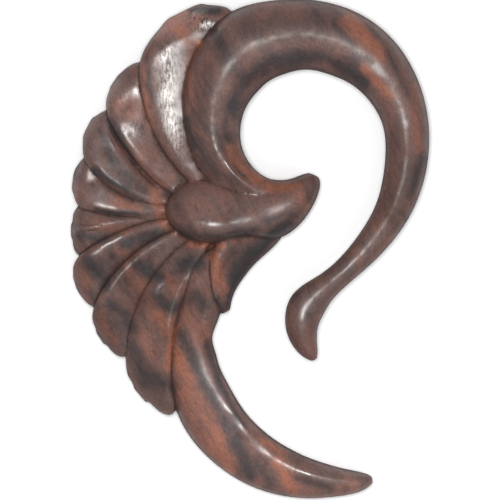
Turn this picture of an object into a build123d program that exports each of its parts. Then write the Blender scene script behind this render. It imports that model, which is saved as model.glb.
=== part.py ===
"""A carved wooden ear hanger, one piece of hard dark wood about 70 mm long.

It lies on its back, face up: X to the right, Y towards the top of the loop, Z out of the face.
A round tapering hook runs over the loop that holds the ear lobe and down to a small foot. Behind the
loop a fan of eight overlapping feathers spreads from an oval boss. The boss runs on into a beak that
turns up inside the loop, and the ninth feather grows into a long curved tail. Everything is cut from
one plank, so it is one solid with a flat back.
"""

import os
from collections import namedtuple
from math import cos, radians, sin, sqrt

from build123d import *

# Plank and back
plank = 10.0  # thickness of the wood, the most that any section is deep
back_allowance = 0.35  # how far the rounded sections reach below the back before it is cut flat

# Hook
loop_radius = 10.0  # inside radius of the loop
gauge = 9.9  # hook at the top of the loop, where the ear lobe sits
shaft_width = 6.05  # hook at the free side of the loop
neck_width = 3.5  # thinnest place, just above the foot
hook_axis = 4.85  # height of the hook's centre line above the back
leg_drop = 31.2  # loop centre down to the tip of the foot
foot_width = 5.0
foot_depth = 4.2

# Beak, the point of the boss, turned up inside the loop
beak_width = 8.9
beak_depth = 7.8
beak_drop = 10.6  # loop centre down to the middle of the beak

# Oval boss that the feathers grow from, measured from the loop centre
boss_left = 15.2
boss_drop = 9.9
boss_length = 17.9
boss_width = 9.2
boss_height = 8.5
hub_height = 3.9  # wood between the roots of the feathers
hub_length = 16.2
hub_width = 14.8
hub_left = 0.2  # hub's middle, measured from the boss
hub_drop = 1.0
root_length = 10.6  # oval on which the creases start, along the boss
root_width = 7.6

# Fan of feathers, measured from the fan centre
fan_left = 20.1
fan_drop = 10.6
fan_reach = 29.5  # fan centre to the furthest notch
feather_height = 6.7
feather_overlap = 0.5  # how far neighbouring feathers run into each other
feather_tuck = 0.9  # how much further the upper feathers slip under the one above
feather_root = 1.5  # how far feathers reach below the back before it is cut flat

# Short feather under the beak
short_width = 5.3
short_height = 6.1
short_length = 15.2
short_drop = 2.3  # boss's middle down to the start of the short feather

# Tail
tail_width = 8.4
tail_height = 6.6
tail_reach = 21.9  # tail's root across to its tip
tail_drop = 31.0  # tail's root down to its lowest centre point

Ring = namedtuple("Ring", "angle reach swell depth ridge")
Leg = namedtuple("Leg", "across down swell")
Foot = namedtuple("Foot", "across down width")
Beak = namedtuple("Beak", "across down width depth crest")
Boss = namedtuple("Boss", "along across width height crest fall")
Crease = namedtuple("Crease", "root angle reach bow")
Feather = namedtuple("Feather", "bulge lean height flat crest fall_first fall_last tuck full")
Station = namedtuple("Station", "back height")
Short = namedtuple("Short", "across down width height crest fall")
Tail = namedtuple("Tail", "across down width height crest ridge lift")

# Hook round the loop: angle about the loop centre, section centre as a share of loop_radius,
# swell from shaft_width (0) to gauge (1), depth as a share of the width, and how sharp the crest is
ring_rows = [
    Ring(246.0, 0.77, -1.05, 1.10, 0.10),
    Ring(234.0, 0.90, -0.80, 1.35, 0.25),
    Ring(221.5, 1.05, -0.47, 1.40, 0.40),
    Ring(202.3, 1.24, 0.00, 1.20, 0.34),
    Ring(186.9, 1.35, 0.29, 1.10, 0.22),
    Ring(170.7, 1.43, 0.58, 1.04, 0.10),
    Ring(157.2, 1.49, 0.86, 1.00, 0.03),
    Ring(139.6, 1.545, 1.20, 1.00, 0.00),
    Ring(123.4, 1.562, 1.30, 1.00, 0.00),
    Ring(108.9, 1.505, 1.14, 1.00, 0.00),
    Ring(95.2, 1.47, 1.00, 1.00, 0.00),
    Ring(74.4, 1.41, 0.91, 1.00, 0.00),
    Ring(52.5, 1.365, 0.66, 1.00, 0.00),
    Ring(30.9, 1.33, 0.34, 1.00, 0.00),
    Ring(9.5, 1.325, 0.09, 1.00, 0.00),
    Ring(-8.5, 1.34, 0.00, 1.00, 0.00),
]

# Leg below the loop: across as a share of loop_radius, down as a share of leg_drop,
# swell from neck_width (0) to shaft_width (1)
leg_rows = [
    Leg(1.258, 0.200, 0.84),
    Leg(1.120, 0.323, 0.59),
    Leg(0.832, 0.464, 0.29),
    Leg(0.518, 0.572, 0.04),
]

# Foot: the same shares, with the width as a share of foot_width
foot_rows = [
    Foot(0.170, 0.669, 0.78),
    Foot(-0.088, 0.757, 1.04),
    Foot(-0.148, 0.850, 0.90),
    Foot(-0.088, 0.925, 0.66),
    Foot(-0.008, 0.972, 0.38),
    Foot(0.032, 0.993, 0.14),
]

# Beak: across as a share of loop_radius, down as a share of beak_drop
beak_rows = [
    Beak(-0.54, 0.910, 0.96, 1.02, -0.2),
    Beak(-0.31, 0.812, 0.76, 0.96, -0.1),
    Beak(-0.14, 0.687, 0.54, 0.84, 0.0),
    Beak(-0.03, 0.560, 0.36, 0.64, 0.0),
    Beak(0.02, 0.475, 0.15, 0.36, 0.0),
]

# Boss: along and across its length and width, from its centre; crest as a share of the half width,
# and how far the face falls to its upper side
boss_rows = [
    Boss(-0.296, 0.00, 0.20, 0.58, 0.0, 0.00),
    Boss(-0.245, 0.00, 0.54, 0.78, -0.1, 0.05),
    Boss(-0.140, 0.00, 0.84, 0.92, -0.3, 0.10),
    Boss(0.020, -0.01, 1.00, 1.00, -0.4, 0.14),
    Boss(0.200, -0.02, 0.90, 1.00, -0.4, 0.12),
    Boss(0.375, -0.01, 0.84, 0.97, -0.3, 0.08),
]

# Creases between feathers: angle of the root on its oval, angle of the notch about the fan centre,
# reach of the notch as a share of fan_reach, and bow as a share of the crease's length
crease_rows = [
    Crease(82, 72.3, 0.992, 0.15),
    Crease(106, 100.9, 0.735, 0.11),
    Crease(143, 121.5, 0.566, 0.07),
    Crease(167, 146.8, 0.480, 0.12),
    Crease(185, 174.9, 0.432, 0.06),
    Crease(203, 205.0, 0.474, -0.06),
    Crease(229, 231.1, 0.571, -0.10),
    Crease(257, 253.3, 0.713, -0.12),
    Crease(285, 272.0, 0.956, -0.11),
]

# Feathers between those creases, top to bottom: bulge of the tip as a share of half its chord,
# how far the tip leans to the feather above, height, the share of it at which the face is cut
# flat, crest across the half width, how far the face falls to its first and last side, whether it
# slips under the feather above, and how full its shoulders are (Bezier handle)
feather_rows = [
    Feather(0.54, 0.34, 1.08, 0.93, 0.10, 0.02, 0.00, 0.5, 0.95),
    Feather(0.42, 0.05, 0.94, 1.00, 0.74, 0.09, 0.02, 1.0, 0.86),
    Feather(0.50, 0.35, 0.90, 1.00, 0.74, 0.16, 0.02, 1.0, 0.84),
    Feather(0.43, 0.25, 0.87, 1.00, 0.72, 0.08, 0.02, 1.0, 0.84),
    Feather(0.35, 0.15, 0.81, 1.00, 0.00, 0.14, 0.12, 0.8, 0.78),
    Feather(0.46, 0.25, 0.84, 1.00, -0.76, 0.02, 0.15, 0.0, 0.88),
    Feather(0.41, 0.10, 0.88, 1.00, -0.76, 0.02, 0.15, 0.0, 0.90),
    Feather(0.40, 0.05, 0.92, 1.00, 0.70, 0.16, 0.02, 0.0, 0.90),
]

# Stations along a feather: distance back from its tip as a share of its length, and height
station_rows = [
    Station(1.00, 0.80),
    Station(0.88, 0.85),
    Station(0.76, 0.90),
    Station(0.64, 0.95),
    Station(0.52, 0.99),
    Station(0.41, 1.00),
    Station(0.30, 1.00),
    Station(0.20, 0.98),
    Station(0.12, 0.93),
    Station(0.06, 0.82),
    Station(0.02, 0.67),
    Station(0.00, 0.56),
]
tip_end = 0.24  # share of half the chord at which a feather's rounded tip is cut off

# Short feather: across as a share of loop_radius, down as a share of short_length, and how far
# the face falls to its outer side
short_rows = [
    Short(-0.598, -0.043, 1.00, 0.92, -0.1, 0.10),
    Short(-0.800, 0.070, 1.18, 1.06, -0.3, 0.20),
    Short(-1.020, 0.190, 1.22, 1.08, -0.5, 0.26),
    Short(-1.190, 0.382, 1.04, 1.02, -0.6, 0.24),
    Short(-1.270, 0.570, 0.76, 0.97, -0.5, 0.18),
    Short(-1.260, 0.700, 0.50, 0.88, -0.3, 0.08),
    Short(-1.210, 0.795, 0.22, 0.74, 0.0, 0.00),
]

# Tail: across as a share of tail_reach, down as a share of tail_drop, from the tail's root
tail_rows = [
    Tail(0.045, -0.110, 0.44, 0.80, 0.00, 0.00, 0.0),
    Tail(-0.020, 0.015, 0.60, 0.86, 0.10, 0.00, 0.0),
    Tail(-0.073, 0.135, 0.72, 0.91, 0.30, 0.01, 0.0),
    Tail(-0.099, 0.240, 0.74, 0.94, 0.42, 0.02, 0.0),
    Tail(-0.129, 0.312, 0.71, 0.96, 0.50, 0.03, 0.0),
    Tail(-0.132, 0.398, 0.76, 0.98, 0.56, 0.04, 0.0),
    Tail(-0.114, 0.510, 0.89, 1.00, 0.63, 0.07, 0.0),
    Tail(-0.053, 0.630, 0.98, 1.00, 0.70, 0.10, 0.0),
    Tail(0.036, 0.738, 0.99, 0.99, 0.70, 0.13, 0.0),
    Tail(0.151, 0.826, 0.95, 0.96, 0.63, 0.15, 0.0),
    Tail(0.275, 0.892, 0.90, 0.93, 0.52, 0.16, 0.0),
    Tail(0.403, 0.939, 0.83, 0.90, 0.41, 0.16, 0.1),
    Tail(0.530, 0.970, 0.74, 0.86, 0.32, 0.15, 0.2),
    Tail(0.650, 0.988, 0.64, 0.81, 0.25, 0.14, 0.4),
    Tail(0.765, 0.997, 0.53, 0.74, 0.19, 0.12, 0.6),
    Tail(0.868, 1.000, 0.43, 0.66, 0.13, 0.10, 0.9),
    Tail(0.990, 0.994, 0.25, 0.54, 0.06, 0.05, 1.3),
    Tail(1.030, 0.992, 0.10, 0.42, 0.00, 0.00, 1.6),
]
tail_root_left = 14.1  # from the loop centre
tail_root_drop = 17.2

round_handle = 0.5523  # Bezier handle that makes a quarter of an ellipse
carved_handle = 0.74  # fuller handle, for a flatter face with rounded shoulders
waist_share = 0.45  # height of the widest level of a carved section
feather_waist = 0.70  # the same on the feathers of the fan, whose creases are shallow


def carved_section(plane, half, top, bottom, crest=0.0, falls=(0.0, 0.0), handle=round_handle, waist=0.5):
    """A closed section of four curves: two quarters over the face and two round the back."""
    level = bottom + waist * (top - bottom)
    ridge = crest * half
    left = (-half, level)
    right = (half, level)
    peak = (ridge, top)
    base = (0, bottom)
    rise = handle * (top - level)
    sink = handle * (level - bottom)
    reach_left = handle * (half + ridge)
    reach_right = handle * (half - ridge)
    with BuildLine(plane):
        quarters = [
            Bezier(base, (-handle * half, bottom), (-half, level - sink), left),
            Bezier(left, (-half, level + rise), (ridge - reach_left, top - falls[0]), peak),
            Bezier(peak, (ridge + reach_right, top - falls[1]), (half, level + rise), right),
            Bezier(right, (half, level - sink), (handle * half, bottom), base),
        ]
    return Face(Wire(quarters))


def upright_plane(centre, side):
    """The vertical plane through centre whose local X runs towards side and whose local Y is up."""
    across = Vector(*side).normalized()
    return Plane(origin=Vector(*centre), x_dir=across, z_dir=across.cross(Vector(0, 0, 1)))


def planes_along(points):
    """Upright planes at each point of a smooth line through points, local X to the line's left."""
    path = Spline(*points, mode=Mode.PRIVATE)
    planes = []
    for point in points:
        heading = path.tangent_at(Vector(*point))
        planes.append(upright_plane(point, (-heading.Y, heading.X, 0)))
    return planes


def polar(radius, angle):
    """X and Y of a point at an angle in degrees about the origin."""
    return radius * cos(radians(angle)), radius * sin(radians(angle))


# Hook: a round section swept over the loop and down to the foot
hook_points = []
hook_sizes = []
for row in ring_rows:
    hook_points.append(polar(row.reach * loop_radius, row.angle))
    width = shaft_width + row.swell * (gauge - shaft_width)
    hook_sizes.append((width, row.depth * width, row.ridge * width / 2))
for row in leg_rows:
    hook_points.append((row.across * loop_radius, -row.down * leg_drop))
    width = neck_width + row.swell * (shaft_width - neck_width)
    hook_sizes.append((width, width, 0.0))
for row in foot_rows:
    hook_points.append((row.across * loop_radius, -row.down * leg_drop))
    width = row.width * foot_width
    hook_sizes.append((width, min(width, foot_depth), 0.0))

hook_sections = []
for plane, (width, depth, fall) in zip(planes_along(hook_points), hook_sizes):
    rise = min(depth / 2, plank - hook_axis)
    section = carved_section(
        plane, width / 2, hook_axis + rise, hook_axis - rise, falls=(fall, fall)
    )
    hook_sections.append(section)

with BuildPart() as hook:
    loft(hook_sections)

# Boss and beak: a raised oval that runs on into a short round horn
boss_points = []
for row in boss_rows:
    boss_points.append((-boss_left + row.along * boss_length, -boss_drop + row.across * boss_width))
for row in beak_rows:
    boss_points.append((row.across * loop_radius, -row.down * beak_drop))
boss_planes = planes_along(boss_points)

boss_sections = []
for plane, row in zip(boss_planes, boss_rows):
    section = carved_section(
        plane,
        row.width * boss_width / 2,
        row.height * boss_height,
        -back_allowance,
        crest=row.crest,
        falls=(0.0, row.fall * boss_height),
        handle=carved_handle,
        waist=waist_share,
    )
    boss_sections.append(section)
for plane, row in zip(boss_planes[len(boss_rows):], beak_rows):
    depth = row.depth * (beak_depth + back_allowance)
    low = (beak_depth - back_allowance - depth) / 2
    half = row.width * beak_width / 2
    boss_sections.append(carved_section(plane, half, low + depth, low, crest=row.crest))

with BuildPart() as boss:
    loft(boss_sections)

# Hub: the wood between the feathers' roots, under the boss
with BuildPart() as hub:
    with BuildSketch(Plane.XY.offset(-back_allowance)):
        with Locations((-boss_left - hub_left, -boss_drop - hub_drop)):
            Ellipse(hub_length / 2, hub_width / 2)
    extrude(amount=hub_height + back_allowance)

# Creases: one arc from the boss to each notch of the rim
creases = []
for row in crease_rows:
    root_x = root_length / 2 * cos(radians(row.root))
    root_y = root_width / 2 * sin(radians(row.root))
    root = Vector(-boss_left + root_x, -boss_drop + root_y)
    notch_x, notch_y = polar(row.reach * fan_reach, row.angle)
    notch = Vector(-fan_left + notch_x, -fan_drop + notch_y)
    chord = notch - root
    bow = Vector(-chord.Y, chord.X) * row.bow
    creases.append(ThreePointArc(root, (root + notch) / 2 + bow, notch, mode=Mode.PRIVATE))

# Feathers: each is lofted from the boss to its notches, then out to its rounded tip
feathers = []
for first, last, row in zip(creases, creases[1:], feather_rows):
    chord = (last @ 1) - (first @ 1)
    middle = ((last @ 1) + (first @ 1)) / 2
    outward = Vector(chord.Y, -chord.X).normalized()
    half_chord = chord.length / 2
    bulge = row.bulge * half_chord
    tip_radius = (half_chord**2 + bulge**2) / (2 * bulge)
    below = tip_radius - bulge
    tip_level = sqrt(tip_radius**2 - (tip_end * half_chord) ** 2) - below
    crease_length = (first.length + last.length) / 2
    feather_sections = []
    for station in station_rows:
        distance = (1 - station.back) * (crease_length + tip_level)
        if distance < crease_length:
            start = first @ (distance / crease_length)
            end = last @ (distance / crease_length)
        else:
            level = distance - crease_length
            side = chord.normalized() * sqrt(tip_radius**2 - (below + level) ** 2)
            centre = middle + outward * level - chord.normalized() * row.lean * level
            start = centre - side
            end = centre + side
        across = (end - start).normalized()
        taper = min(1, 4 * station.back)
        start -= across * taper * (feather_overlap / 2 + row.tuck * feather_tuck)
        end += across * taper * feather_overlap / 2
        top = min(station.height, row.flat) * row.height * feather_height
        section = carved_section(
            upright_plane((start + end) / 2, across),
            (end - start).length / 2,
            top,
            -feather_root,
            crest=row.crest,
            falls=(row.fall_first * top, row.fall_last * top),
            handle=row.full,
            waist=feather_waist,
        )
        feather_sections.append(section)
    with BuildPart() as feather:
        loft(feather_sections)
    feathers.append(feather.part)

# Short feather, between the beak and the tail
short_points = [
    (row.across * loop_radius, -boss_drop - short_drop - row.down * short_length) for row in short_rows
]
short_sections = []
for plane, row in zip(planes_along(short_points), short_rows):
    section = carved_section(
        plane,
        row.width * short_width / 2,
        row.height * short_height,
        -back_allowance,
        crest=row.crest,
        falls=(0.0, row.fall * short_height),
        handle=carved_handle,
        waist=waist_share,
    )
    short_sections.append(section)

with BuildPart() as short_feather:
    loft(short_sections)

# Tail: the last feather, drawn out to a curved horn
tail_points = [
    (-tail_root_left + row.across * tail_reach, -tail_root_drop - row.down * tail_drop)
    for row in tail_rows
]
tail_sections = []
for plane, row in zip(planes_along(tail_points), tail_rows):
    fall = row.ridge * tail_height
    section = carved_section(
        plane,
        row.width * tail_width / 2,
        row.height * tail_height,
        row.lift - back_allowance,
        crest=row.crest,
        falls=(fall, fall),
        handle=carved_handle,
        waist=waist_share,
    )
    tail_sections.append(section)

with BuildPart() as tail:
    loft(tail_sections)

# The whole hanger, one carved solid with its origin under the middle of its outline
with BuildPart() as ear_hanger:
    add(hook.part)
    add(boss.part)
    add(hub.part)
    add(feathers)
    add(short_feather.part)
    add(tail.part)
    split(bisect_by=Plane.XY, keep=Keep.TOP)

outline = ear_hanger.part.bounding_box()
ear_hanger.part.move(Location((-outline.center().X, -outline.center().Y, -outline.min.Z)))
ear_hanger.part.label = "ear_hanger"

os.makedirs("parts", exist_ok=True)
export_step(ear_hanger.part, "parts/ear_hanger.step")
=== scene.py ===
"""The carved wooden ear hanger on its CAD frame: worked surface, figured wood, light and camera.

Lengths are in metres in the frame of the CAD part: X right, Y towards the top of the loop, Z out
of the carved face, with the origin under the middle of the outline. The tables give places and
sizes in millimetres and angles in degrees.

The visible piece is a fine copy of the CAD solid. It is softened where the carver blended and
sanded, then cut, scooped and filed. The figure of the wood and its polish come from tables of
streaks, which are written to the mesh as one number per vertex for the material to read. Some
dark streaks and the darkening of creases, hollows and sides are painted shade, and some lighter
streaks are painted sheen.
"""

from collections import namedtuple
from math import cos, radians, sin

import bpy
import numpy as np
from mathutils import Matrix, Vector, noise


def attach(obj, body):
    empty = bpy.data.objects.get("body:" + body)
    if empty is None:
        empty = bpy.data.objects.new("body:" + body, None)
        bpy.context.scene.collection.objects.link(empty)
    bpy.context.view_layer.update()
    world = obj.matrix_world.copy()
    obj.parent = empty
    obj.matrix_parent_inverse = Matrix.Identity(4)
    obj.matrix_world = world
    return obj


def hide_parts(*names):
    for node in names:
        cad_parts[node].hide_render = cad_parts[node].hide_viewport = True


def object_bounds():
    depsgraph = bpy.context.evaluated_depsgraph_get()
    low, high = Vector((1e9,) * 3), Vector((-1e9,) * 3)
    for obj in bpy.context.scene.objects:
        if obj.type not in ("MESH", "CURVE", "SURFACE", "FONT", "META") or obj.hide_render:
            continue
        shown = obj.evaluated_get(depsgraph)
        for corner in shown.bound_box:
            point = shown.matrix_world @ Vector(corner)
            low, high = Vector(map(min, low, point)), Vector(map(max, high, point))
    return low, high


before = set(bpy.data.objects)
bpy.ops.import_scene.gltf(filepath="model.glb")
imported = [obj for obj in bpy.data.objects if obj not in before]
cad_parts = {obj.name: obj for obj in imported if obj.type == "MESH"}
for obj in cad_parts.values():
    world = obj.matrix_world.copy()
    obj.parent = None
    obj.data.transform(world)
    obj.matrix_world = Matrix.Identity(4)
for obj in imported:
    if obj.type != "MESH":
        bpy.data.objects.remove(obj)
cad_box = [list(corner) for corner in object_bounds()]

MM = 0.001


# Tools for meshes
SMOOTH_SHARE = 0.5  # how far one pass of smoothing moves a point towards its neighbours


def as_arrays(mesh):
    """The vertices and the edges of a mesh as arrays."""
    points = np.zeros(len(mesh.vertices) * 3)
    mesh.vertices.foreach_get("co", points)
    edges = np.zeros(len(mesh.edges) * 2, np.int64)
    mesh.edges.foreach_get("vertices", edges)
    return points.reshape(-1, 3), edges.reshape(-1, 2)


def vertex_normals(mesh, points):
    """The mesh takes these points, and its normals there come back."""
    mesh.vertices.foreach_set("co", points.ravel())
    mesh.update()
    normals = np.zeros(len(points) * 3)
    mesh.vertices.foreach_get("normal", normals)
    return normals.reshape(-1, 3)


def smooth(points, edges, share, passes):
    """Moves each point towards the mean of its neighbours; share is one number or one per point."""
    count = np.bincount(edges.ravel(), minlength=len(points))[:, None]
    for _ in range(passes):
        total = np.zeros_like(points)
        for axis in range(3):
            total[:, axis] = np.bincount(edges[:, 0], points[edges[:, 1], axis], len(points))
            total[:, axis] += np.bincount(edges[:, 1], points[edges[:, 0], axis], len(points))
        points = points + share * (total / np.maximum(count, 1) - points)
    return points


def smooth_near(points, edges, share, passes):
    """Smooths, in place, the points whose share is above nothing."""
    near = share[:, 0] > 0
    touching = edges[near[edges[:, 0]] | near[edges[:, 1]]]
    used, local = np.unique(touching, return_inverse=True)
    points[used] = smooth(points[used], local.reshape(-1, 2), share[used], passes)


def hollowness(points, edges, normals, passes):
    """How far each point lies below the surface smoothed by so many passes, in mm."""
    smoothed = smooth(points, edges, SMOOTH_SHARE, passes)
    return ((smoothed - points) * normals).sum(axis=1) / MM


def distance_to_line(points, line):
    """Distance from each point to a broken line, and where along it that is (0 to 1)."""
    nearest = np.full(len(points), np.inf)
    place = np.zeros(len(points))
    for number, (a, b) in enumerate(zip(line, line[1:])):
        a, b = np.array(a), np.array(b)
        along = np.clip(((points - a) @ (b - a)) / ((b - a) @ (b - a)), 0, 1)
        away = np.linalg.norm(points - a - along[:, None] * (b - a), axis=1)
        closer = away < nearest
        nearest[closer] = away[closer]
        place[closer] = (number + along[closer]) / (len(line) - 1)
    return nearest, place


def spline(a, b, c, d, t):
    """The Catmull-Rom spline through four values, a share t of the way from b to c."""
    bend = (2 * a - 5 * b + 4 * c - d) * t**2
    return 0.5 * (2 * b + (c - a) * t + bend + (3 * b - a - 3 * c + d) * t**3)


def curve_through(points, steps=12):
    """A smooth line through points."""
    ends = [points[0], *points, points[-1]]
    line = []
    for corners in zip(ends, ends[1:], ends[2:], ends[3:]):
        for step in range(steps):
            line.append(tuple(spline(*axis, step / steps) for axis in zip(*corners)))
    return line + [tuple(points[-1])]


def spot_distance(shift, spot):
    """How far each shift lies from a spot's middle: 1 at its half length and half width."""
    turn = radians(spot.angle)
    across = shift @ np.array([[cos(turn), -sin(turn)], [sin(turn), cos(turn)]])
    return np.hypot(across[:, 0] / spot.half_length, across[:, 1] / spot.half_width)


def apply_modifier(obj, kind, **settings):
    """Adds a modifier, applies it and takes it off."""
    modifier = obj.modifiers.new(kind.lower(), kind)
    for name, value in settings.items():
        setattr(modifier, name, value)
    evaluated = obj.evaluated_get(bpy.context.evaluated_depsgraph_get())
    mesh = bpy.data.meshes.new_from_object(evaluated)
    obj.modifiers.clear()
    obj.data = mesh


def write_attribute(mesh, name, values):
    """Keeps one number per vertex for the material to read."""
    layer = mesh.attributes.new(name, "FLOAT", "POINT")
    layer.data.foreach_set("value", np.ascontiguousarray(values, np.float32))


# The carved surface
VOXEL = 0.125 * MM  # remesh of the CAD solid
TRIANGLES = 190000  # left after the carved mesh is thinned out
SMOOTH_PASSES = 6  # all over, against the steps of the remesh

# Where the carver blended one form into the next, along a line: radius in mm, smoothing passes
Blend = namedtuple("Blend", "points radius passes")

blends = [
    # spots, as very short lines, where the hook, first feather, boss and beak meet
    Blend([(1.2, 8.3), (1.3, 8.3)], 3.2, 60),
    Blend([(-2.5, 2.6), (-2.4, 2.6)], 2.4, 30),
    Blend([(-9.0, 8.9), (-8.9, 8.9)], 2.2, 50),
    Blend([(-4.6, 9.6), (-4.5, 9.6)], 1.8, 30),
    # between the roots of the eighth feather and the tail
    Blend([(-6.2, 1.2), (-4.8, 0.0)], 0.9, 50),
    # soft crest of the upper tail
    Blend([(-6.3, -4.6), (-6.6, -7.4), (-7.1, -10.0)], 1.1, 150),
    Blend([(-7.1, -10.0), (-6.9, -14.2), (-5.6, -17.8), (-3.8, -21.4)], 1.6, 200),
    # round crest at the right of the hook
    Blend([(12.6, 28.2), (17.6, 25.2), (20.4, 21.6), (21.6, 18.4)], 1.9, 160),
    # round crest out to the tip of the tail
    Blend([(0.0, -26.4), (3.4, -29.2), (8.4, -31.2), (15.6, -32.4)], 1.3, 120),
]
BLEND_EDGE = 1.5  # the inner third of a blend is smoothed in full, and from there it fades out

# Sanding of the crests
PROUD_PASSES = 12  # smoothing against which a crest stands out
PROUD = 0.02  # mm that it stands out to be sanded
PROUD_SPREAD = 8  # passes that spread the sanded places
PROUD_GAIN = 2  # makes the middles of those places fully sanded
SANDING_PASSES = 50
FACE_FROM, FACE_SPAN = 0.45, 0.3  # upright part of the normal: from the sides to the carved face

# A groove cut in the face along a line of points, or a ridge where the depth is below nothing:
# depth and half width in mm
Groove = namedtuple("Groove", "points depth half_width")

grooves = [
    # undercut of the upper feathers by the ones above them
    Groove([(-19.9, 18.4), (-18.9, 15.6), (-16.7, 12.4), (-14.3, 9.7), (-12.6, 8.3)], 0.30, 0.80),
    Groove([(-22.4, 11.2), (-20.4, 9.2), (-18.2, 7.8), (-16.0, 6.6)], 0.32, 0.75),
    Groove([(-23.4, 5.9), (-20.2, 5.0), (-17.0, 4.5), (-13.9, 4.1)], 0.20, 0.60),
    # rib of the fifth feather
    Groove([(-24.3, 2.8), (-22.5, 3.0), (-20.8, 3.2)], -0.14, 0.45),
    # ridge out to the tip of the tail
    Groove([(6.4, -30.7), (9.4, -31.7), (12.6, -32.3), (16.2, -32.7)], -0.22, 1.70),
    # border of the short feather
    Groove([(-5.7, -0.6), (-5.5, -4.4), (-4.9, -6.9), (-3.4, -9.0)], 0.20, 0.35),
    # ridge between the hook and its inner bevel, down to the beak
    Groove([(-4.0, 14.0), (-2.6, 11.3), (-1.0, 9.5), (1.3, 7.7)], -0.14, 0.65),
]
GROOVE_TAPER = 4  # a groove runs out over a quarter of its length at each end
GROOVE_POWER = 1.5  # above 1 its sides are hollow, so that it is sharp at the bottom

# A shallow hollow scooped in the face: centre, half length and half width in mm, angle in degrees
Dent = namedtuple("Dent", "x y half_length half_width angle depth")

dents = [
    Dent(-17.3, 20.3, 3.0, 2.4, 55, 0.32),
    Dent(-20.3, 14.2, 2.6, 1.3, 120, 0.14),
    Dent(-22.3, 9.4, 2.2, 1.6, 130, 0.26),
]
# A spot filed level, tipped a little to the middle of the part: centre, half length and half width
# in mm, angle in degrees, and how far the surface goes to that level (0 to 1)
Flat = namedtuple("Flat", "x y half_length half_width angle share")

flats = [
    Flat(-6.2, 31.6, 2.6, 1.8, 135, 0.60),
    Flat(-16.6, 16.4, 2.8, 1.7, -35, 0.45),
    Flat(-22.3, 10.4, 2.0, 1.7, -55, 0.55),
    Flat(-12.5, -5.2, 0.9, 0.6, 60, 0.60),
    Flat(-1.0, -25.0, 2.6, 1.0, -50, 0.45),
    Flat(2.0, -28.2, 2.6, 1.0, -45, 0.45),
    Flat(17.9, 24.9, 3.0, 1.5, -42, 0.45),
]
FLAT_TIP = 0.0023  # rise outwards per mm, for each mm from the middle
FLAT_EDGE = 1.2  # the inner sixth of a flat is filed fully
FLAT_MIDDLE = 0.3  # inner share of a flat that sets its level
MIDDLE_FACING, FLAT_FACING = 0.5, 0.3  # least upright part of the normal, there and elsewhere

# The tail keeps its height towards the tip
TAIL_LIFT = 0.28  # share of its height that the tip gains
TAIL_LIFT_POWER = 1.5
TAIL_LIFT_FROM, TAIL_LIFT_SPAN = 2, 14  # mm along X
TAIL_TOP = -24  # mm along Y, above which nothing of it is lifted

# The knife left the surface slightly uneven
KNIFE_SPAN = 2.6 * MM  # width of the knife's cuts
KNIFE_DEPTH = 0.022 * MM
FINE_CUT_SPAN = 0.4  # finer cuts among them, as shares of that width and depth
FINE_CUT_SHARE = 0.5


def soften_joins(points, edges):
    """Smooths the points near each blend some more."""
    for blend in blends:
        away, _ = distance_to_line(points[:, :2] / MM, blend.points)
        inside = np.clip(BLEND_EDGE - BLEND_EDGE * away / blend.radius, 0, 1)
        smooth_near(points, edges, SMOOTH_SHARE * inside[:, None], blend.passes)


def sand_crests(mesh, points, edges):
    """Smooths the proud places of the carved face, and leaves the creases."""
    normals = vertex_normals(mesh, points)
    proud = np.clip(-hollowness(points, edges, normals, PROUD_PASSES) / PROUD, 0, 1)
    proud *= np.clip((normals[:, 2] - FACE_FROM) / FACE_SPAN, 0, 1)
    proud = smooth(np.repeat(proud[:, None], 3, axis=1), edges, SMOOTH_SHARE, PROUD_SPREAD)[:, :1]
    smooth_near(points, edges, SMOOTH_SHARE * np.clip(PROUD_GAIN * proud, 0, 1), SANDING_PASSES)


def cut_grooves(points, facing):
    for groove in grooves:
        away, place = distance_to_line(points[:, :2] / MM, curve_through(groove.points))
        away = away / groove.half_width
        taper = np.clip(GROOVE_TAPER * np.minimum(place, 1 - place), 0, 1)
        if groove.depth > 0:
            profile = np.clip(1 - away, 0, 1) ** GROOVE_POWER
        else:
            profile = np.clip(1 - away**2, 0, 1) ** 2
        points[:, 2] -= facing * groove.depth * MM * taper * profile


def scoop_dents(points, facing):
    for dent in dents:
        away = spot_distance(points[:, :2] / MM - (dent.x, dent.y), dent)
        points[:, 2] -= facing * dent.depth * MM * np.clip(1 - away**2, 0, 1) ** 2


def file_flats(points, facing):
    for flat in flats:
        shift = points[:, :2] / MM - (flat.x, flat.y)
        away = spot_distance(shift, flat)
        middle = np.median(points[(away < FLAT_MIDDLE) & (facing > MIDDLE_FACING), 2])
        level = middle + FLAT_TIP * (shift @ (flat.x, flat.y)) * MM
        inside = np.clip(FLAT_EDGE - FLAT_EDGE * away, 0, 1)
        share = (facing > FLAT_FACING) * flat.share * inside**2 * (3 - 2 * inside)
        points[:, 2] += share * (level - points[:, 2])


def lift_tail(points):
    along = np.clip((points[:, 0] / MM - TAIL_LIFT_FROM) / TAIL_LIFT_SPAN, 0, 1)
    along = along * (points[:, 1] / MM < TAIL_TOP)
    points[:, 2] *= 1 + TAIL_LIFT * along**TAIL_LIFT_POWER


def leave_knife_marks(points, normals, facing):
    uneven = np.array([noise.noise(Vector(point) / KNIFE_SPAN) for point in points])
    fine = [noise.noise(Vector(point) / (FINE_CUT_SPAN * KNIFE_SPAN)) for point in points]
    uneven += FINE_CUT_SHARE * np.array(fine)
    points += normals * (KNIFE_DEPTH * facing * uneven)[:, None]


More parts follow.
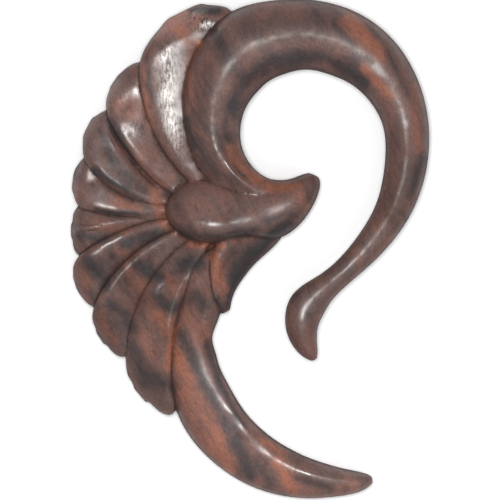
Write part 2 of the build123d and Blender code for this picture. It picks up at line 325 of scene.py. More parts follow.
def carve(mesh):
    """The points of the remeshed solid as the carver left them."""
    points, edges = as_arrays(mesh)
    points = smooth(points, edges, SMOOTH_SHARE, SMOOTH_PASSES)
    soften_joins(points, edges)
    sand_crests(mesh, points, edges)
    normals = vertex_normals(mesh, points)
    facing = np.clip(normals[:, 2], 0, 1)
    cut_grooves(points, facing)
    scoop_dents(points, facing)
    file_flats(points, facing)
    lift_tail(points)
    leave_knife_marks(points, normals, facing)
    # The wood rests on its back, and stays inside the box of the CAD part
    low, high = np.array(cad_box[0]), np.array(cad_box[1])
    return np.clip(points, low, high)


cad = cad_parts["ear_hanger"]
hanger = bpy.data.objects.new("carved_hanger", cad.data.copy())
bpy.context.scene.collection.objects.link(hanger)
hanger.data.materials.clear()
apply_modifier(hanger, "REMESH", mode="VOXEL", voxel_size=VOXEL)
carved = carve(hanger.data)
hanger.data.vertices.foreach_set("co", carved.ravel())
hanger.data.update()
remeshed = len(hanger.data.polygons) * 2  # triangles, two to each square
thinned = min(1.0, TRIANGLES / remeshed)
apply_modifier(hanger, "DECIMATE", ratio=thinned, use_collapse_triangulate=True)
for polygon in hanger.data.polygons:
    polygon.use_smooth = True
hanger.data.name = "carved_hanger"


# Figure and polish by place, with painted shade and painted sheen among the streaks
# A patch or streak on the face: ends in mm, half width in mm, and strength. Above 1 it is at its
# full effect further out.
Streak = namedtuple("Streak", "x0 y0 x1 y1 half_width strength")

# Near-black wood, with painted shade where noted
dark_streaks = [
    # inner side of the loop: painted shade
    Streak(-3.2, 15.8, -3.3, 19.0, 0.8, 0.7),
    Streak(-2.6, 19.0, -0.6, 23.6, 1.4, 0.9),
    Streak(-0.8, 23.8, 3.6, 26.5, 1.3, 0.9),
    Streak(3.4, 26.4, 10.5, 27.0, 1.3, 0.95),
    Streak(10.5, 27.0, 16.2, 23.2, 1.0, 0.85),
    # outer side of the hook
    Streak(-5.0, 30.2, -2.6, 25.4, 1.5, 0.7),
    Streak(-5.6, 25.0, -6.4, 19.0, 1.6, 0.5),
    Streak(0.0, 30.2, 8.8, 31.6, 1.6, 0.5),
    Streak(12.0, 31.6, 13.6, 28.8, 0.8, 0.7),
    Streak(19.4, 27.6, 21.8, 21.6, 0.6, 0.6),
    Streak(24.2, 12.8, 22.6, 7.8, 0.9, 0.7),
    Streak(-7.4, 15.4, -4.6, 10.4, 1.2, 0.6),
    Streak(-8.8, 18.4, -8.0, 14.2, 0.6, 0.7),
    # boss and beak: the first two, along the bottom of the boss, and the last, on the beak's lower
    # flank, are painted shade
    Streak(-9.6, 2.5, -5.0, 1.6, 0.8, 0.7),
    Streak(-5.0, 1.6, 0.6, 2.5, 0.8, 0.7),
    Streak(-3.0, 6.2, -1.8, 4.6, 0.8, 0.6),
    Streak(2.4, 4.2, 6.2, 4.8, 0.8, 0.65),
    # first to fifth feather
    Streak(-8.0, 33.6, -4.6, 33.3, 0.6, 1.0),
    Streak(-14.3, 27.0, -13.7, 20.0, 0.5, 0.6),
    Streak(-21.0, 16.6, -18.8, 12.0, 0.9, 0.8),
    Streak(-17.8, 10.8, -14.8, 8.2, 0.8, 0.6),
    # painted shadow in the undercuts under the borders of the second, third and fourth feather
    Streak(-19.8, 18.0, -16.2, 12.2, 0.45, 0.9),
    Streak(-21.8, 11.0, -17.0, 8.2, 0.5, 1.0),
    Streak(-21.4, 5.4, -15.6, 4.8, 0.45, 0.9),
    Streak(-22.4, 14.6, -20.4, 18.6, 1.2, 0.45),
    Streak(-17.4, 8.4, -15.2, 7.0, 0.5, 0.5),
    Streak(-23.8, 1.8, -20.4, 1.4, 0.7, 0.7),
    # sixth to eighth feather
    Streak(-22.4, -1.8, -20.2, -4.8, 1.2, 0.9),
    Streak(-17.6, 0.8, -13.4, 1.9, 0.9, 0.9),
    Streak(-15.4, -2.2, -12.6, -4.2, 1.1, 1.0),
    Streak(-19.6, -7.6, -16.4, -11.0, 1.3, 0.9),
    Streak(-9.6, -2.0, -7.2, -2.2, 1.0, 1.0),
    Streak(-13.2, -6.4, -10.6, -8.2, 1.2, 1.0),
    Streak(-16.4, -13.2, -14.4, -18.4, 1.0, 0.7),
    Streak(-14.4, -17.4, -11.6, -19.4, 1.3, 0.8),
    # short feather, and the slope under the beak: painted shade
    Streak(5.6, 3.6, 0.6, -0.4, 0.9, 1.0),
    Streak(0.2, -0.4, -2.2, -4.2, 1.1, 1.0),
    Streak(-2.4, -4.2, -3.2, -8.4, 0.6, 0.9),
    Streak(-4.8, -7.2, -3.6, -8.6, 0.7, 0.8),
    # tail
    Streak(-7.6, -6.6, -6.4, -8.0, 1.0, 0.9),
    Streak(-9.6, -11.8, -7.6, -15.4, 0.9, 0.8),
    Streak(-8.0, -15.0, -5.4, -20.4, 0.9, 0.8),
    Streak(-5.4, -20.4, -2.6, -25.6, 0.9, 0.9),
    Streak(-2.6, -25.2, 0.0, -31.6, 1.2, 0.9),
    Streak(-6.2, -13.4, -4.0, -19.8, 0.8, 0.85),
    Streak(-4.0, -19.8, -1.2, -24.8, 0.8, 0.85),
    Streak(-3.8, -13.0, -0.6, -20.6, 0.6, 0.5),
    Streak(-0.6, -20.6, 5.4, -27.4, 0.6, 0.5),
    Streak(0.8, -29.6, 2.8, -32.6, 1.1, 0.7),
    Streak(7.2, -31.8, 11.2, -33.8, 0.9, 0.7),
]

# Orange wood
red_streaks = [
    # hook
    Streak(13.8, 31.9, 18.4, 27.0, 1.2, 1.0),
    Streak(15.8, 25.3, 19.8, 21.2, 0.7, 0.9),
    Streak(22.8, 22.4, 23.8, 14.0, 0.9, 0.6),
    Streak(-2.8, 14.0, -1.6, 11.6, 0.8, 0.9),
    Streak(-1.6, 11.6, 1.2, 9.5, 0.6, 0.9),
    Streak(-8.6, 25.0, -8.3, 19.6, 0.8, 0.6),
    Streak(18.0, 3.0, 20.4, 7.0, 0.8, 0.4),
    # beak and boss
    Streak(2.6, 8.6, 6.6, 8.9, 0.8, 1.0),
    Streak(7.0, 7.8, 8.4, 5.8, 0.7, 0.7),
    Streak(-10.4, 4.8, -9.0, 3.8, 0.6, 0.5),
    Streak(-1.4, 5.4, 0.8, 4.4, 0.8, 0.4),
    # seams at the hook and round the boss
    Streak(-8.9, 26.0, -7.0, 28.8, 0.5, 1.0),
    Streak(-13.4, 8.2, -12.2, 3.4, 0.8, 1.0),
    Streak(-12.0, 3.2, -9.2, 1.4, 0.5, 0.8),
    Streak(-8.2, 0.7, -4.0, 0.3, 0.6, 1.0),
    Streak(-2.4, 0.9, 0.4, 2.0, 0.4, 0.6),
    # first to fifth feather
    Streak(-9.8, 30.6, -7.8, 28.2, 1.0, 0.7),
    Streak(-15.0, 24.6, -14.0, 17.4, 0.6, 0.6),
    Streak(-14.8, 13.8, -11.8, 9.8, 1.1, 0.8),
    Streak(-18.6, 6.6, -15.6, 5.5, 0.7, 0.8),
    Streak(-21.4, 3.6, -17.6, 2.6, 0.8, 0.7),
    # sixth to eighth feather
    Streak(-18.4, -0.4, -15.8, -1.7, 0.8, 0.6),
    Streak(-23.0, -2.8, -22.6, -5.0, 0.7, 0.5),
    Streak(-16.6, -3.4, -14.0, -6.6, 1.3, 0.6),
    Streak(-20.8, -9.6, -19.2, -12.6, 0.9, 0.6),
    Streak(-11.6, -4.2, -9.6, -5.8, 1.0, 0.65),
    Streak(-13.0, -9.4, -10.8, -11.2, 1.1, 1.0),
    Streak(-10.9, -12.0, -11.3, -16.6, 0.6, 1.0),
    Streak(-15.4, -11.2, -14.0, -14.4, 0.8, 0.5),
    # short feather
    Streak(-5.0, -1.0, -3.8, -5.8, 0.8, 1.0),
    # tail
    Streak(-8.6, -8.8, -6.0, -12.8, 1.3, 0.5),
    Streak(-10.2, -14.6, -8.0, -19.6, 0.8, 1.0),
    Streak(-8.2, -19.0, -2.8, -30.6, 1.1, 1.0),
    Streak(-9.4, -20.0, -5.0, -28.4, 1.1, 0.7),
    Streak(2.2, -27.0, 4.6, -28.8, 0.5, 0.8),
    Streak(4.2, -29.8, 6.0, -33.6, 0.9, 0.9),
    Streak(13.0, -33.2, 14.8, -33.2, 0.6, 0.4),
]

# Places rubbed to a higher shine
shiny_streaks = [
    # first to fifth feather
    Streak(-11.8, 28.4, -11.6, 20.0, 1.7, 1.0),
    Streak(-11.4, 20.0, -10.2, 14.2, 1.7, 1.0),
    Streak(-7.2, 32.2, -5.0, 30.7, 1.2, 1.6),
    Streak(-19.3, 20.8, -17.9, 22.4, 0.8, 1.5),
    Streak(-16.4, 23.0, -15.5, 21.9, 0.8, 1.5),
    Streak(-17.8, 15.9, -15.2, 17.3, 0.9, 1.0),
    Streak(-17.2, 14.8, -15.8, 12.2, 0.5, 0.7),
    Streak(-15.2, 7.0, -13.2, 6.3, 0.4, 1.0),
    Streak(-22.9, 11.0, -22.0, 9.6, 1.0, 1.0),
    Streak(-22.0, 6.1, -19.2, 5.6, 0.4, 0.8),
    Streak(-24.4, 2.7, -21.0, 3.2, 0.4, 1.0),
    # thin crests of the lower feathers
    Streak(-23.6, -1.0, -21.9, -0.6, 0.3, 0.5),
    Streak(-21.9, -0.6, -18.0, 1.7, 0.3, 0.6),
    Streak(-20.2, -5.9, -17.9, -2.9, 0.3, 0.5),
    Streak(-17.9, -2.9, -10.6, 2.3, 0.3, 0.4),
    Streak(-11.7, -10.0, -9.4, -5.0, 0.3, 0.1),
    Streak(-9.4, -5.0, -6.4, 0.4, 0.3, 0.15),
    Streak(-13.1, -5.7, -12.3, -4.9, 0.4, 1.0),
    # boss and beak
    Streak(-7.2, 4.0, -5.2, 3.8, 0.8, 0.8),
    Streak(-2.2, 3.5, -0.6, 3.7, 0.6, 0.5),
    Streak(2.2, 5.5, 4.6, 5.9, 0.6, 1.0),
    # hook
    Streak(-4.8, 18.0, -4.3, 13.8, 0.5, 0.9),
    Streak(-4.8, 18.0, -3.6, 22.4, 1.0, 0.4),
    Streak(-3.0, 11.6, 1.4, 7.6, 0.6, 1.5),
    Streak(15.4, 26.8, 19.6, 23.2, 1.0, 1.5),
    Streak(19.6, 23.4, 21.4, 18.0, 0.6, 0.7),
    Streak(7.6, -6.4, 6.8, -9.4, 0.5, 1.0),
    # tail
    Streak(-6.2, -15.6, -4.0, -21.4, 1.4, 0.15),
    Streak(-3.2, -22.6, 0.2, -26.2, 0.7, 1.5),
    Streak(0.2, -26.2, 3.4, -29.4, 0.7, 1.6),
    Streak(3.6, -29.4, 8.4, -31.4, 0.7, 1.4),
    Streak(9.0, -31.6, 15.6, -32.6, 0.8, 1.6),
]

# Places left dull
dull_streaks = [
    # lower feathers
    Streak(-20.5, -3.0, -9.0, -3.0, 4.0, 0.9),
    Streak(-18.5, -8.5, -9.0, -8.5, 4.5, 0.9),
    Streak(-14.0, -16.0, -10.5, -14.0, 4.0, 0.8),
    Streak(-23.0, 1.6, -15.0, 2.8, 1.2, 0.6),
    # first feather beside the hook, and the middle of the boss
    Streak(-9.4, 30.6, -8.2, 27.8, 0.9, 0.6),
    Streak(-3.9, 4.0, -2.9, 3.8, 0.7, 0.9),
    # borders of the second, the third and the eighth feather
    Streak(-18.0, 15.0, -13.6, 9.4, 0.6, 1.0),
    Streak(-21.0, 10.4, -16.0, 7.2, 0.4, 0.6),
    Streak(-11.6, -11.0, -11.8, -19.0, 0.8, 1.0),
    # upper tail and short feather
    Streak(-5.6, -3.0, -7.2, -10.7, 1.8, 1.0),
    Streak(-7.2, -10.7, -6.6, -14.8, 1.6, 1.0),
    Streak(0.0, -1.0, -3.4, -7.0, 2.0, 0.7),
    # hook
    Streak(-5.4, 27.0, -6.6, 18.0, 1.6, 0.6),
    Streak(21.8, 15.0, 19.3, 5.0, 1.2, 0.7),
    Streak(-2.2, 19.4, 0.2, 23.8, 1.6, 1.0),
    Streak(0.2, 23.8, 9.0, 26.8, 1.4, 1.0),
    Streak(9.0, 26.8, 16.2, 23.0, 1.0, 0.8),
    Streak(-3.4, 24.0, 1.6, 28.9, 1.0, 0.3),
    Streak(1.6, 28.9, 10.0, 29.6, 1.0, 0.35),
]

# Places with file marks and pits under the polish
pitted_streaks = [
    Streak(-11.8, 28.4, -11.6, 20.0, 2.4, 1.0),
    Streak(-11.6, 20.0, -10.0, 14.0, 2.4, 1.0),
    Streak(-7.4, 32.4, -5.0, 30.6, 1.6, 1.0),
    Streak(-17.8, 15.9, -15.2, 17.3, 1.6, 0.8),
    Streak(-19.3, 20.8, -15.5, 22.4, 1.2, 0.5),
    Streak(-20.8, 15.6, -19.0, 12.0, 1.4, 0.4),
    Streak(-7.2, 4.0, -4.8, 3.8, 1.2, 0.5),
]

# Lighter colour, or darker where the strength is below nothing; the lighter streaks on the tail and
# on the inner bevel of the loop are painted sheen
pale_streaks = [
    # tail: painted sheen
    Streak(-6.0, -16.4, -3.8, -20.0, 1.1, 0.9),
    Streak(-3.8, -20.0, -2.4, -25.6, 1.2, 1.1),
    Streak(-7.5, -16.0, -3.5, -26.0, 3.0, 0.35),
    Streak(-3.5, -26.0, 4.0, -31.5, 3.0, 0.45),
    Streak(4.0, -31.5, 14.0, -33.4, 2.6, 0.35),
    # first to fifth feather
    Streak(-11.8, 31.2, -8.4, 33.2, 1.6, 1.2),
    Streak(-14.6, 25.4, -13.8, 17.0, 0.8, 0.35),
    Streak(-17.8, 21.2, -16.8, 19.0, 1.6, 1.0),
    Streak(-21.4, 17.0, -20.0, 14.0, 1.4, 0.3),
    Streak(-22.0, 15.0, -20.6, 18.4, 1.2, 0.7),
    Streak(-24.0, 8.4, -21.6, 8.0, 1.6, 0.3),
    Streak(-20.6, 3.0, -17.6, 2.6, 0.8, -0.25),
    # sixth to eighth feather
    Streak(-22.0, -2.0, -16.4, -0.8, 1.3, -0.3),
    Streak(-17.2, -4.4, -15.0, -7.2, 1.6, -0.45),
    Streak(-20.6, -9.6, -19.2, -12.6, 1.2, -0.25),
    Streak(-11.8, -3.6, -10.0, -5.2, 1.0, -0.25),
    Streak(-12.4, -9.0, -11.4, -11.6, 1.2, -0.2),
    # short feather, beak and hook
    Streak(-2.4, -2.2, 1.0, 0.4, 1.4, -0.35),
    Streak(22.0, 11.0, 19.4, 4.6, 1.5, -0.45),
    Streak(7.4, -9.6, 7.0, -12.4, 1.2, -0.3),
    # inner bevel of the loop: painted sheen
    Streak(-2.6, 18.0, -1.2, 21.6, 1.4, 0.8),
    Streak(0.6, 25.4, 4.0, 27.0, 1.4, 0.3),
    Streak(4.0, 27.0, 10.5, 27.2, 1.3, 0.55),
    Streak(15.0, 24.8, 19.6, 18.0, 1.0, 0.2),
]

STREAK_EDGE, STREAK_FADE = 0.5, 0.6  # share left at the half width, and how fast it grows inwards
WANDER_SPAN = 2.4 * MM  # the figure's outlines wander over this distance
WANDER = 0.5  # mm that they wander
FIGURE_SEED = 115  # without it the wandering differs from run to run
POLISH_WANDER = 0.4 * WANDER

# How hollow or proud the surface is for the full effect, in mm, against so many smoothing passes
FINE_PASSES, CREASE_DEPTH, CREST_HEIGHT = 3, 0.012, 0.015
WIDE_PASSES, SHADE_DEPTH = 30, 0.10
SIDE_FROM, SIDE_SPAN = 0.05, 0.45  # upright part of the normal: from the sides to the face


def streak_field(places, streaks):
    """At each place the strongest streak: its strength in its middle, nothing well outside."""
    total = np.zeros(len(places))
    for streak in streaks:
        away, _ = distance_to_line(places, [(streak.x0, streak.y0), (streak.x1, streak.y1)])
        inside = STREAK_EDGE + STREAK_FADE * (1 - away / streak.half_width)
        reach = streak.strength * np.clip(inside, 0, 1)
        total = np.where(np.abs(reach) > np.abs(total), reach, total)
    return total


def write_shade_and_wear(mesh):
    """Creases and wide hollows get painted shade, orange with wax in the redder wood; crests wear,
    and the sides get painted shade and less polish.
    """
    points, edges = as_arrays(mesh)
    normals = vertex_normals(mesh, points)
    fine = hollowness(points, edges, normals, FINE_PASSES)
    wide = hollowness(points, edges, normals, WIDE_PASSES)
    write_attribute(mesh, "crease", np.clip(fine / CREASE_DEPTH, 0, 1))
    write_attribute(mesh, "crest", np.clip(-fine / CREST_HEIGHT, 0, 1))
    write_attribute(mesh, "shade", np.clip(wide / SHADE_DEPTH, 0, 1))
    write_attribute(mesh, "side", np.clip(1 - (normals[:, 2] - SIDE_FROM) / SIDE_SPAN, 0, 1))


def write_figure(mesh):
    """The streaks of the tables, with wandering outlines."""
    points, _ = as_arrays(mesh)
    noise.seed_set(FIGURE_SEED)
    wander = [noise.noise_vector(Vector(point) / WANDER_SPAN)[:2] for point in points]
    wander = np.array(wander)
    places = points[:, :2] / MM + WANDER * wander
    write_attribute(mesh, "dark", streak_field(places, dark_streaks))
    write_attribute(mesh, "red", streak_field(places, red_streaks))
    places = points[:, :2] / MM + POLISH_WANDER * wander
    shiny = streak_field(places, shiny_streaks)
    write_attribute(mesh, "shiny", shiny)
    write_attribute(mesh, "dull", streak_field(places, dull_streaks) * np.clip(1 - shiny, 0, 1))
    write_attribute(mesh, "pitted", streak_field(places, pitted_streaks) * shiny)
    write_attribute(mesh, "pale", streak_field(places, pale_streaks))


write_shade_and_wear(hanger.data)
write_figure(hanger.data)


# The wood
BASE_RED = (0.140, 0.068, 0.056, 1)
BASE_BROWN = (0.098, 0.056, 0.050, 1)
DARK = (0.022, 0.021, 0.024, 1)
ORANGE = (0.250, 0.090, 0.054, 1)
PORE = (0.012, 0.008, 0.007, 1)
DUST = (0.040, 0.036, 0.026, 1)
# painted shade in the creases
SHADE_IN_CREASES = (0.020, 0.010, 0.008, 1)
CREASE_ORANGE = (0.21, 0.055, 0.016, 1)

GRAIN_TURN = (radians(12), radians(6), radians(62))  # down and to the right, tipped into the plank
FILE_TURN = (0, 0, radians(-8))  # the file ran nearly along Y
WARP_SCALE, WARP_DETAIL, WARP_AMOUNT = 90, 2.0, 0.9 * MM  # the grain isn't quite straight

# A noise pattern: its scale per metre along each axis, detail, roughness and distortion
Pattern = namedtuple("Pattern", "scale detail rough distortion")

FIBRES = Pattern((900, 5200, 5200), 4.0, 0.62, 0.0)
BANDS = Pattern((60, 420, 420), 3.0, 0.55, 0.4)
TONE = Pattern((110, 190, 190), 3.0, 0.6, 0.8)
FRAY = Pattern((260, 1500, 1500), 4.0, 0.6, 0.0)
PORES = Pattern((900, 9000, 9000), 1.0, 0.5, 0.0)
PITS = Pattern((3400, 1300, 1300), 3.0, 0.65, 0.0)
FILE_MARKS = Pattern((3600, 620, 900), 3.0, 0.6, 0.0)
FACETS = Pattern((300, 700, 700), 2.0, 0.5, 0.0)
MOTTLE = Pattern(2200, 3.0, 0.6, 0.0)
FILLING = Pattern(260, 2.0, 0.5, 0.0)
PATCHES = Pattern(420, 3.0, 0.6, 0.0)
RUBBING = Pattern(900, 3.0, 0.6, 0.0)

# A value's range, and the range that it is turned into
Span = namedtuple("Span", "low high out_low out_high")

STREAK_SPAN = Span(0.05, 1.0, 0.0, 1.0)
TONE_SPAN = Span(0.38, 0.62, 0.0, 1.0)
DARK_BANDS = Span(0.50, 0.70, 0.0, 0.45)
ORANGE_BANDS = Span(0.70, 0.40, 0.35, 0.85)
FIBRE_TINT = Span(0.30, 0.72, 0.84, 1.16)
MOTTLE_TINT = Span(0.3, 0.7, 0.90, 1.10)
PORE_SPAN = Span(0.66, 0.76, 0.0, 1.0)
PIT_SPAN = Span(0.50, 0.60, 0.0, 1.0)
FILLING_SPAN = Span(0.50, 0.66, 0.0, 1.0)
COAT_PATCHES = Span(0.35, 0.62, 0.10, 0.34)
COAT_BUFFED = Span(0.36, 0.64, 0.18, 0.72)
ROUGHNESS = Span(0.3, 0.7, 0.46, 0.60)

NOISE_MIDDLE = 0.5  # a noise pattern runs from 0 to 1

FRAY_SHARE = 0.6
DARK_SHARE = 0.85
PORE_SHARE = 0.6
DUST_SHARE = 0.6
# painted shade, and orange wax in the redder wood, in creases and wide hollows
CREASE_SHADE_AND_GRIME, HOLLOW_SHADE_AND_GRIME = 0.7, 0.55
# painted shade on the sides
SIDE_SHADE_SHARE = 0.45
BUFFED_MEAN = 0.46  # coat of a buffed place without file marks
LEAST_MARKED = 0.3  # share of the file marks that shows in every buffed place
PIT_POLISH_LOSS = 0.8
GRIME_POLISH_LOSS = 1.8
COAT_ROUGHNESS = 0.25
INDEX_OF_REFRACTION, SPECULAR_LEVEL = 1.52, 0.30
BUMP_STRENGTH, BUMP_DISTANCE = 0.55, 0.12 * MM

# What each thing adds to the roughness, and to the height of the bump
roughens = {
    "pores": 0.2,
    "unpolished": 0.45,
    "crest": -0.04,
    "shiny": -0.10,
    "dull": 0.28,
    "pits": 0.25,
}
raises = {"facets": 0.5, "fibres": 0.14, "pores": -0.25, "file marks": 1.3, "pits": -1.2}


class Graph:
    """Short ways to add and link shader nodes."""

    PER_ROW, COLUMN, ROW = 12, 200, -260  # how the nodes are laid out
    MIX_SHARE, MIX_A, MIX_B, MIX_RESULT = 0, 6, 7, 2  # the mix node's sockets for colours

    def __init__(self, material):
        self.tree = material.node_tree
        self.count = 0

    def node(self, kind, **values):
        made = self.tree.nodes.new(kind)
        row, column = divmod(self.count, self.PER_ROW)
        made.location = (self.COLUMN * column, self.ROW * row)
        self.count += 1
        for name, value in values.items():
            setattr(made, name, value)
        return made

    def link(self, source, target):
        if hasattr(source, "is_output"):
            self.tree.links.new(source, target)
        else:
            target.default_value = source

    def math(self, operation, a, b, clamp=False):
        made = self.node("ShaderNodeMath", operation=operation, use_clamp=clamp)
        self.link(a, made.inputs[0])
        self.link(b, made.inputs[1])
        return made.outputs[0]

    def add(self, a, b, clamp=False):
        return self.math("ADD", a, b, clamp)

    def less(self, a, b, clamp=False):
        return self.math("SUBTRACT", a, b, clamp)

    def times(self, a, b, clamp=False):
        return self.math("MULTIPLY", a, b, clamp)

    def larger(self, a, b):
        return self.math("MAXIMUM", a, b)

    def mapping(self, vector, rotation=(0, 0, 0), scale=(1, 1, 1)):
        made = self.node("ShaderNodeMapping", vector_type="POINT")
        self.link(vector, made.inputs["Vector"])
        made.inputs["Rotation"].default_value = rotation
        made.inputs["Scale"].default_value = scale
        return made.outputs[0]

    def noise(self, vector, scale, detail, kind="Fac", rough=0.5, distortion=0.0):
        made = self.node("ShaderNodeTexNoise", noise_dimensions="3D")
        self.link(vector, made.inputs["Vector"])
        made.inputs["Scale"].default_value = scale
        made.inputs["Detail"].default_value = detail
        made.inputs["Roughness"].default_value = rough
        made.inputs["Distortion"].default_value = distortion
        return made.outputs[kind]

    def pattern(self, vector, pattern, rotation=(0, 0, 0)):
        """A noise pattern, stretched where its scale differs by axis."""
        scale = pattern.scale
        if isinstance(scale, tuple):
            vector = self.mapping(vector, rotation, scale)
            scale = 1.0
        return self.noise(vector, scale, pattern.detail, "Fac", pattern.rough, pattern.distortion)

    def span(self, value, span):
        made = self.node("ShaderNodeMapRange", interpolation_type="SMOOTHSTEP")
        self.link(value, made.inputs["Value"])
        made.inputs["From Min"].default_value = span.low
        made.inputs["From Max"].default_value = span.high
        made.inputs["To Min"].default_value = span.out_low
        made.inputs["To Max"].default_value = span.out_high
        return made.outputs[0]

    def attribute(self, name):
        return self.node("ShaderNodeAttribute", attribute_name=name).outputs["Fac"]

    def mix(self, share, a, b, blend="MIX"):
        made = self.node("ShaderNodeMix", data_type="RGBA", blend_type=blend)
        for value, number in ((share, self.MIX_SHARE), (a, self.MIX_A), (b, self.MIX_B)):
            self.link(value, made.inputs[number])
        return made.outputs[self.MIX_RESULT]

    def grey(self, value):
        made = self.node("ShaderNodeCombineColor")
        for socket in made.inputs[:3]:
            self.link(value, socket)
        return made.outputs[0]

    def warp(self, vector, scale, detail, amount):
        """The vector pushed about by a soft noise, amount in metres."""
        centred = self.node("ShaderNodeVectorMath", operation="SUBTRACT")
        self.link(self.noise(vector, scale, detail, "Color"), centred.inputs[0])
        centred.inputs[1].default_value = (NOISE_MIDDLE,) * 3
        scaled = self.node("ShaderNodeVectorMath", operation="SCALE")
        self.link(centred.outputs[0], scaled.inputs[0])
        scaled.inputs["Scale"].default_value = amount / NOISE_MIDDLE
        moved = self.node("ShaderNodeVectorMath", operation="ADD")
        self.link(vector, moved.inputs[0])
        self.link(scaled.outputs[0], moved.inputs[1])
        return moved.outputs[0]


def surface_marks(graph, loose, grain):
    """What wood, carver and wear left on the surface, and the painted shade of creases, hollows and
    sides, which its colour, polish and bump all show.
    """
    marks = {name: graph.attribute(name) for name in ("shiny", "dull", "pitted", "crest", "side")}
    marks["facets"] = graph.pattern(grain, FACETS)
    marks["fibres"] = graph.pattern(grain, FIBRES)
    marks["pores"] = graph.span(graph.pattern(grain, PORES), PORE_SPAN)
    pits = graph.span(graph.pattern(loose, PITS, FILE_TURN), PIT_SPAN)
    marks["pits"] = graph.times(pits, marks["pitted"])
    marks["filing"] = graph.pattern(loose, FILE_MARKS, FILE_TURN)
    marked = graph.larger(marks["pitted"], graph.times(marks["shiny"], LEAST_MARKED))
    marks["file marks"] = graph.times(marks["filing"], marked)
    # painted shade in creases and wide hollows, orange with wax in the redder wood; with the sides
    # it also takes off polish
    crease = graph.times(graph.attribute("crease"), CREASE_SHADE_AND_GRIME)
    shade = graph.times(graph.attribute("shade"), HOLLOW_SHADE_AND_GRIME)
    marks["grime"] = graph.larger(crease, shade)
    marks["unpolished"] = graph.larger(marks["grime"], marks["side"])
    return marks


def wood_colour(graph, place, grain, marks):
    """Brown to red, in dark bands, with near-black and orange streaks frayed along the grain; some
    near-black streaks are painted shade, and creases, hollows and sides get painted shade.
    """
    bands = graph.pattern(grain, BANDS)
    fray = graph.times(graph.less(graph.pattern(grain, FRAY), NOISE_MIDDLE), FRAY_SHARE)
    dark = graph.span(graph.add(graph.attribute("dark"), fray), STREAK_SPAN)
    red = graph.span(graph.less(graph.attribute("red"), fray), STREAK_SPAN)
    tone = graph.span(graph.pattern(grain, TONE), TONE_SPAN)
    colour = graph.mix(tone, BASE_BROWN, BASE_RED)
    colour = graph.mix(graph.span(bands, DARK_BANDS), colour, DARK)
    colour = graph.mix(graph.times(red, graph.span(bands, ORANGE_BANDS)), colour, ORANGE)
    # near-black streaks, some of them painted shade
    colour = graph.mix(graph.times(dark, DARK_SHARE), colour, DARK)

    # Fine changes of tone
    mottle = graph.span(graph.pattern(place, MOTTLE), MOTTLE_TINT)
    fine = graph.times(graph.span(marks["fibres"], FIBRE_TINT), mottle)
    # lighter or darker by place; on the tail and the loop's inner bevel this is painted sheen
    fine = graph.times(fine, graph.add(graph.attribute("pale"), 1.0))
    colour = graph.mix(1.0, colour, graph.grey(fine), "MULTIPLY")

    # Pores are short dark dashes along the grain; pits in the filed places hold dust
    colour = graph.mix(graph.times(marks["pores"], PORE_SHARE), colour, PORE)
    colour = graph.mix(graph.times(marks["pits"], DUST_SHARE), colour, DUST)

    # Creases and wide hollows get painted shade, orange with wax in the redder wood; the sides get
    # painted shade too
    filled = graph.times(graph.span(graph.pattern(place, FILLING), FILLING_SPAN), red)
    colour = graph.mix(marks["grime"], colour, graph.mix(filled, SHADE_IN_CREASES, CREASE_ORANGE))
    return graph.mix(graph.times(marks["side"], SIDE_SHADE_SHARE), colour, DARK)


def wood_polish(graph, place, marks):
    """Patchy all over, higher where buffed, with the file's marks showing in it."""
    patchy = graph.span(graph.pattern(place, PATCHES), COAT_PATCHES)
    patchy = graph.times(patchy, graph.less(1.0, marks["dull"], clamp=True))
    buffed = graph.less(graph.span(marks["filing"], COAT_BUFFED), BUFFED_MEAN)
    buffed = graph.times(buffed, graph.larger(marks["pitted"], LEAST_MARKED))
    buffed = graph.times(graph.add(buffed, BUFFED_MEAN), marks["shiny"])
    buffed = graph.times(buffed, graph.less(1.0, graph.times(marks["pits"], PIT_POLISH_LOSS)))
    lost = graph.times(marks["unpolished"], GRIME_POLISH_LOSS)
    return graph.times(graph.add(patchy, buffed), graph.less(1.0, lost, clamp=True), clamp=True)


def wood_roughness(graph, place, marks):
    rough = graph.span(graph.pattern(place, RUBBING), ROUGHNESS)
    for name, change in roughens.items():
        rough = graph.add(rough, graph.times(marks[name], change), clamp=True)
    return rough


def wood_bump(graph, marks):
    height = 0.0
    for name, change in raises.items():
        height = graph.add(height, graph.times(marks[name], change))
    bump = graph.node("ShaderNodeBump")
    bump.inputs["Strength"].default_value = BUMP_STRENGTH
    bump.inputs["Distance"].default_value = BUMP_DISTANCE
    graph.link(height, bump.inputs["Height"])
    return bump.outputs[0]


def make_wood():
    """Polished dark hardwood with its grain down to the right and near-black and orange figure."""
    material = bpy.data.materials.new("figured_dark_wood")
    material.use_nodes = True
    material.node_tree.nodes.clear()
    graph = Graph(material)
    place = graph.node("ShaderNodeTexCoord").outputs["Object"]
    loose = graph.warp(place, WARP_SCALE, WARP_DETAIL, WARP_AMOUNT)
    grain = graph.mapping(loose, GRAIN_TURN)
    marks = surface_marks(graph, loose, grain)
    shader = graph.node("ShaderNodeBsdfPrincipled")
    shader.inputs["IOR"].default_value = INDEX_OF_REFRACTION
    shader.inputs["Specular IOR Level"].default_value = SPECULAR_LEVEL
    shader.inputs["Coat Roughness"].default_value = COAT_ROUGHNESS
    graph.link(wood_colour(graph, place, grain, marks), shader.inputs["Base Color"])
    graph.link(wood_polish(graph, place, marks), shader.inputs["Coat Weight"])
    graph.link(wood_roughness(graph, place, marks), shader.inputs["Roughness"])
    graph.link(wood_bump(graph, marks), shader.inputs["Normal"])
    output = graph.node("ShaderNodeOutputMaterial")
    graph.link(shader.outputs[0], output.inputs["Surface"])
    return material


hanger.data.materials.append(make_wood())
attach(hanger, "root")
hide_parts("ear_hanger")


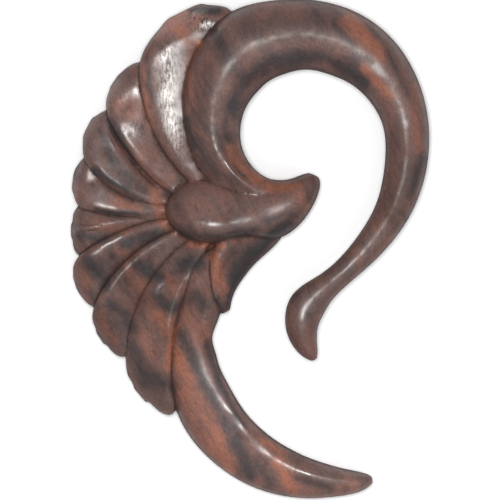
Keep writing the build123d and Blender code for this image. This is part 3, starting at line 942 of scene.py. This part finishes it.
# Floor, light and camera
FLOOR_HALF = 1.5
FLOOR_COLOUR = (0.95, 0.96, 0.98, 1)
FLOOR_ROUGHNESS = 0.9
WORLD_COLOUR = (1, 1, 1, 1)
WORLD_STRENGTH = 0.35

# A square lamp that looks at the part: azimuth 0 is towards -Y, elevation is above the floor,
# distance and size are in metres and power is in watts
Lamp = namedtuple("Lamp", "name azimuth elevation distance size power colour")

lamps = [
    Lamp("key", -140, 88, 0.50, 0.10, 2.0, (1.0, 0.985, 0.96)),
    Lamp("fill", 40, 55, 0.90, 0.80, 1.6, (0.96, 0.98, 1.0)),
]

FIELD = 70.35 * MM  # width of the picture at the level of the part's outline
OUTLINE_LEVEL = 2.5 * MM
CAMERA_X, CAMERA_Y, CAMERA_HEIGHT = 0.035 * MM, -0.14 * MM, 0.62
SENSOR_WIDTH = 36
CLIP_START, CLIP_END = 0.01, 10

bpy.ops.mesh.primitive_plane_add(size=2 * FLOOR_HALF, location=(0, 0, 0))
floor = bpy.context.object
floor.name = "floor"
paper = bpy.data.materials.new("pale_floor")
paper.use_nodes = True
paper_shader = paper.node_tree.nodes["Principled BSDF"]
paper_shader.inputs["Base Color"].default_value = FLOOR_COLOUR
paper_shader.inputs["Roughness"].default_value = FLOOR_ROUGHNESS
floor.data.materials.append(paper)

world = bpy.data.worlds.new("studio")
bpy.context.scene.world = world
world.use_nodes = True
world.node_tree.nodes["Background"].inputs["Color"].default_value = WORLD_COLOUR
world.node_tree.nodes["Background"].inputs["Strength"].default_value = WORLD_STRENGTH

for lamp in lamps:
    light = bpy.data.lights.new(lamp.name, "AREA")
    light.shape = "SQUARE"
    light.size = lamp.size
    light.energy = lamp.power
    light.color = lamp.colour
    holder = bpy.data.objects.new(lamp.name, light)
    turn, rise = radians(lamp.azimuth), radians(lamp.elevation)
    direction = Vector((sin(turn) * cos(rise), -cos(turn) * cos(rise), sin(rise)))
    holder.location = direction * lamp.distance
    holder.rotation_euler = (-holder.location).to_track_quat("-Z", "Y").to_euler()
    bpy.context.scene.collection.objects.link(holder)

camera_data = bpy.data.cameras.new("overhead")
camera_data.sensor_width = SENSOR_WIDTH
camera_data.lens = SENSOR_WIDTH * (CAMERA_HEIGHT - OUTLINE_LEVEL) / FIELD
camera_data.clip_start = CLIP_START
camera_data.clip_end = CLIP_END
camera = bpy.data.objects.new("overhead", camera_data)
camera.location = (CAMERA_X, CAMERA_Y, CAMERA_HEIGHT)
camera.rotation_euler = (0, 0, 0)
bpy.context.scene.collection.objects.link(camera)
bpy.context.scene.camera = camera
bpy.context.scene.view_settings.view_transform = "Standard"
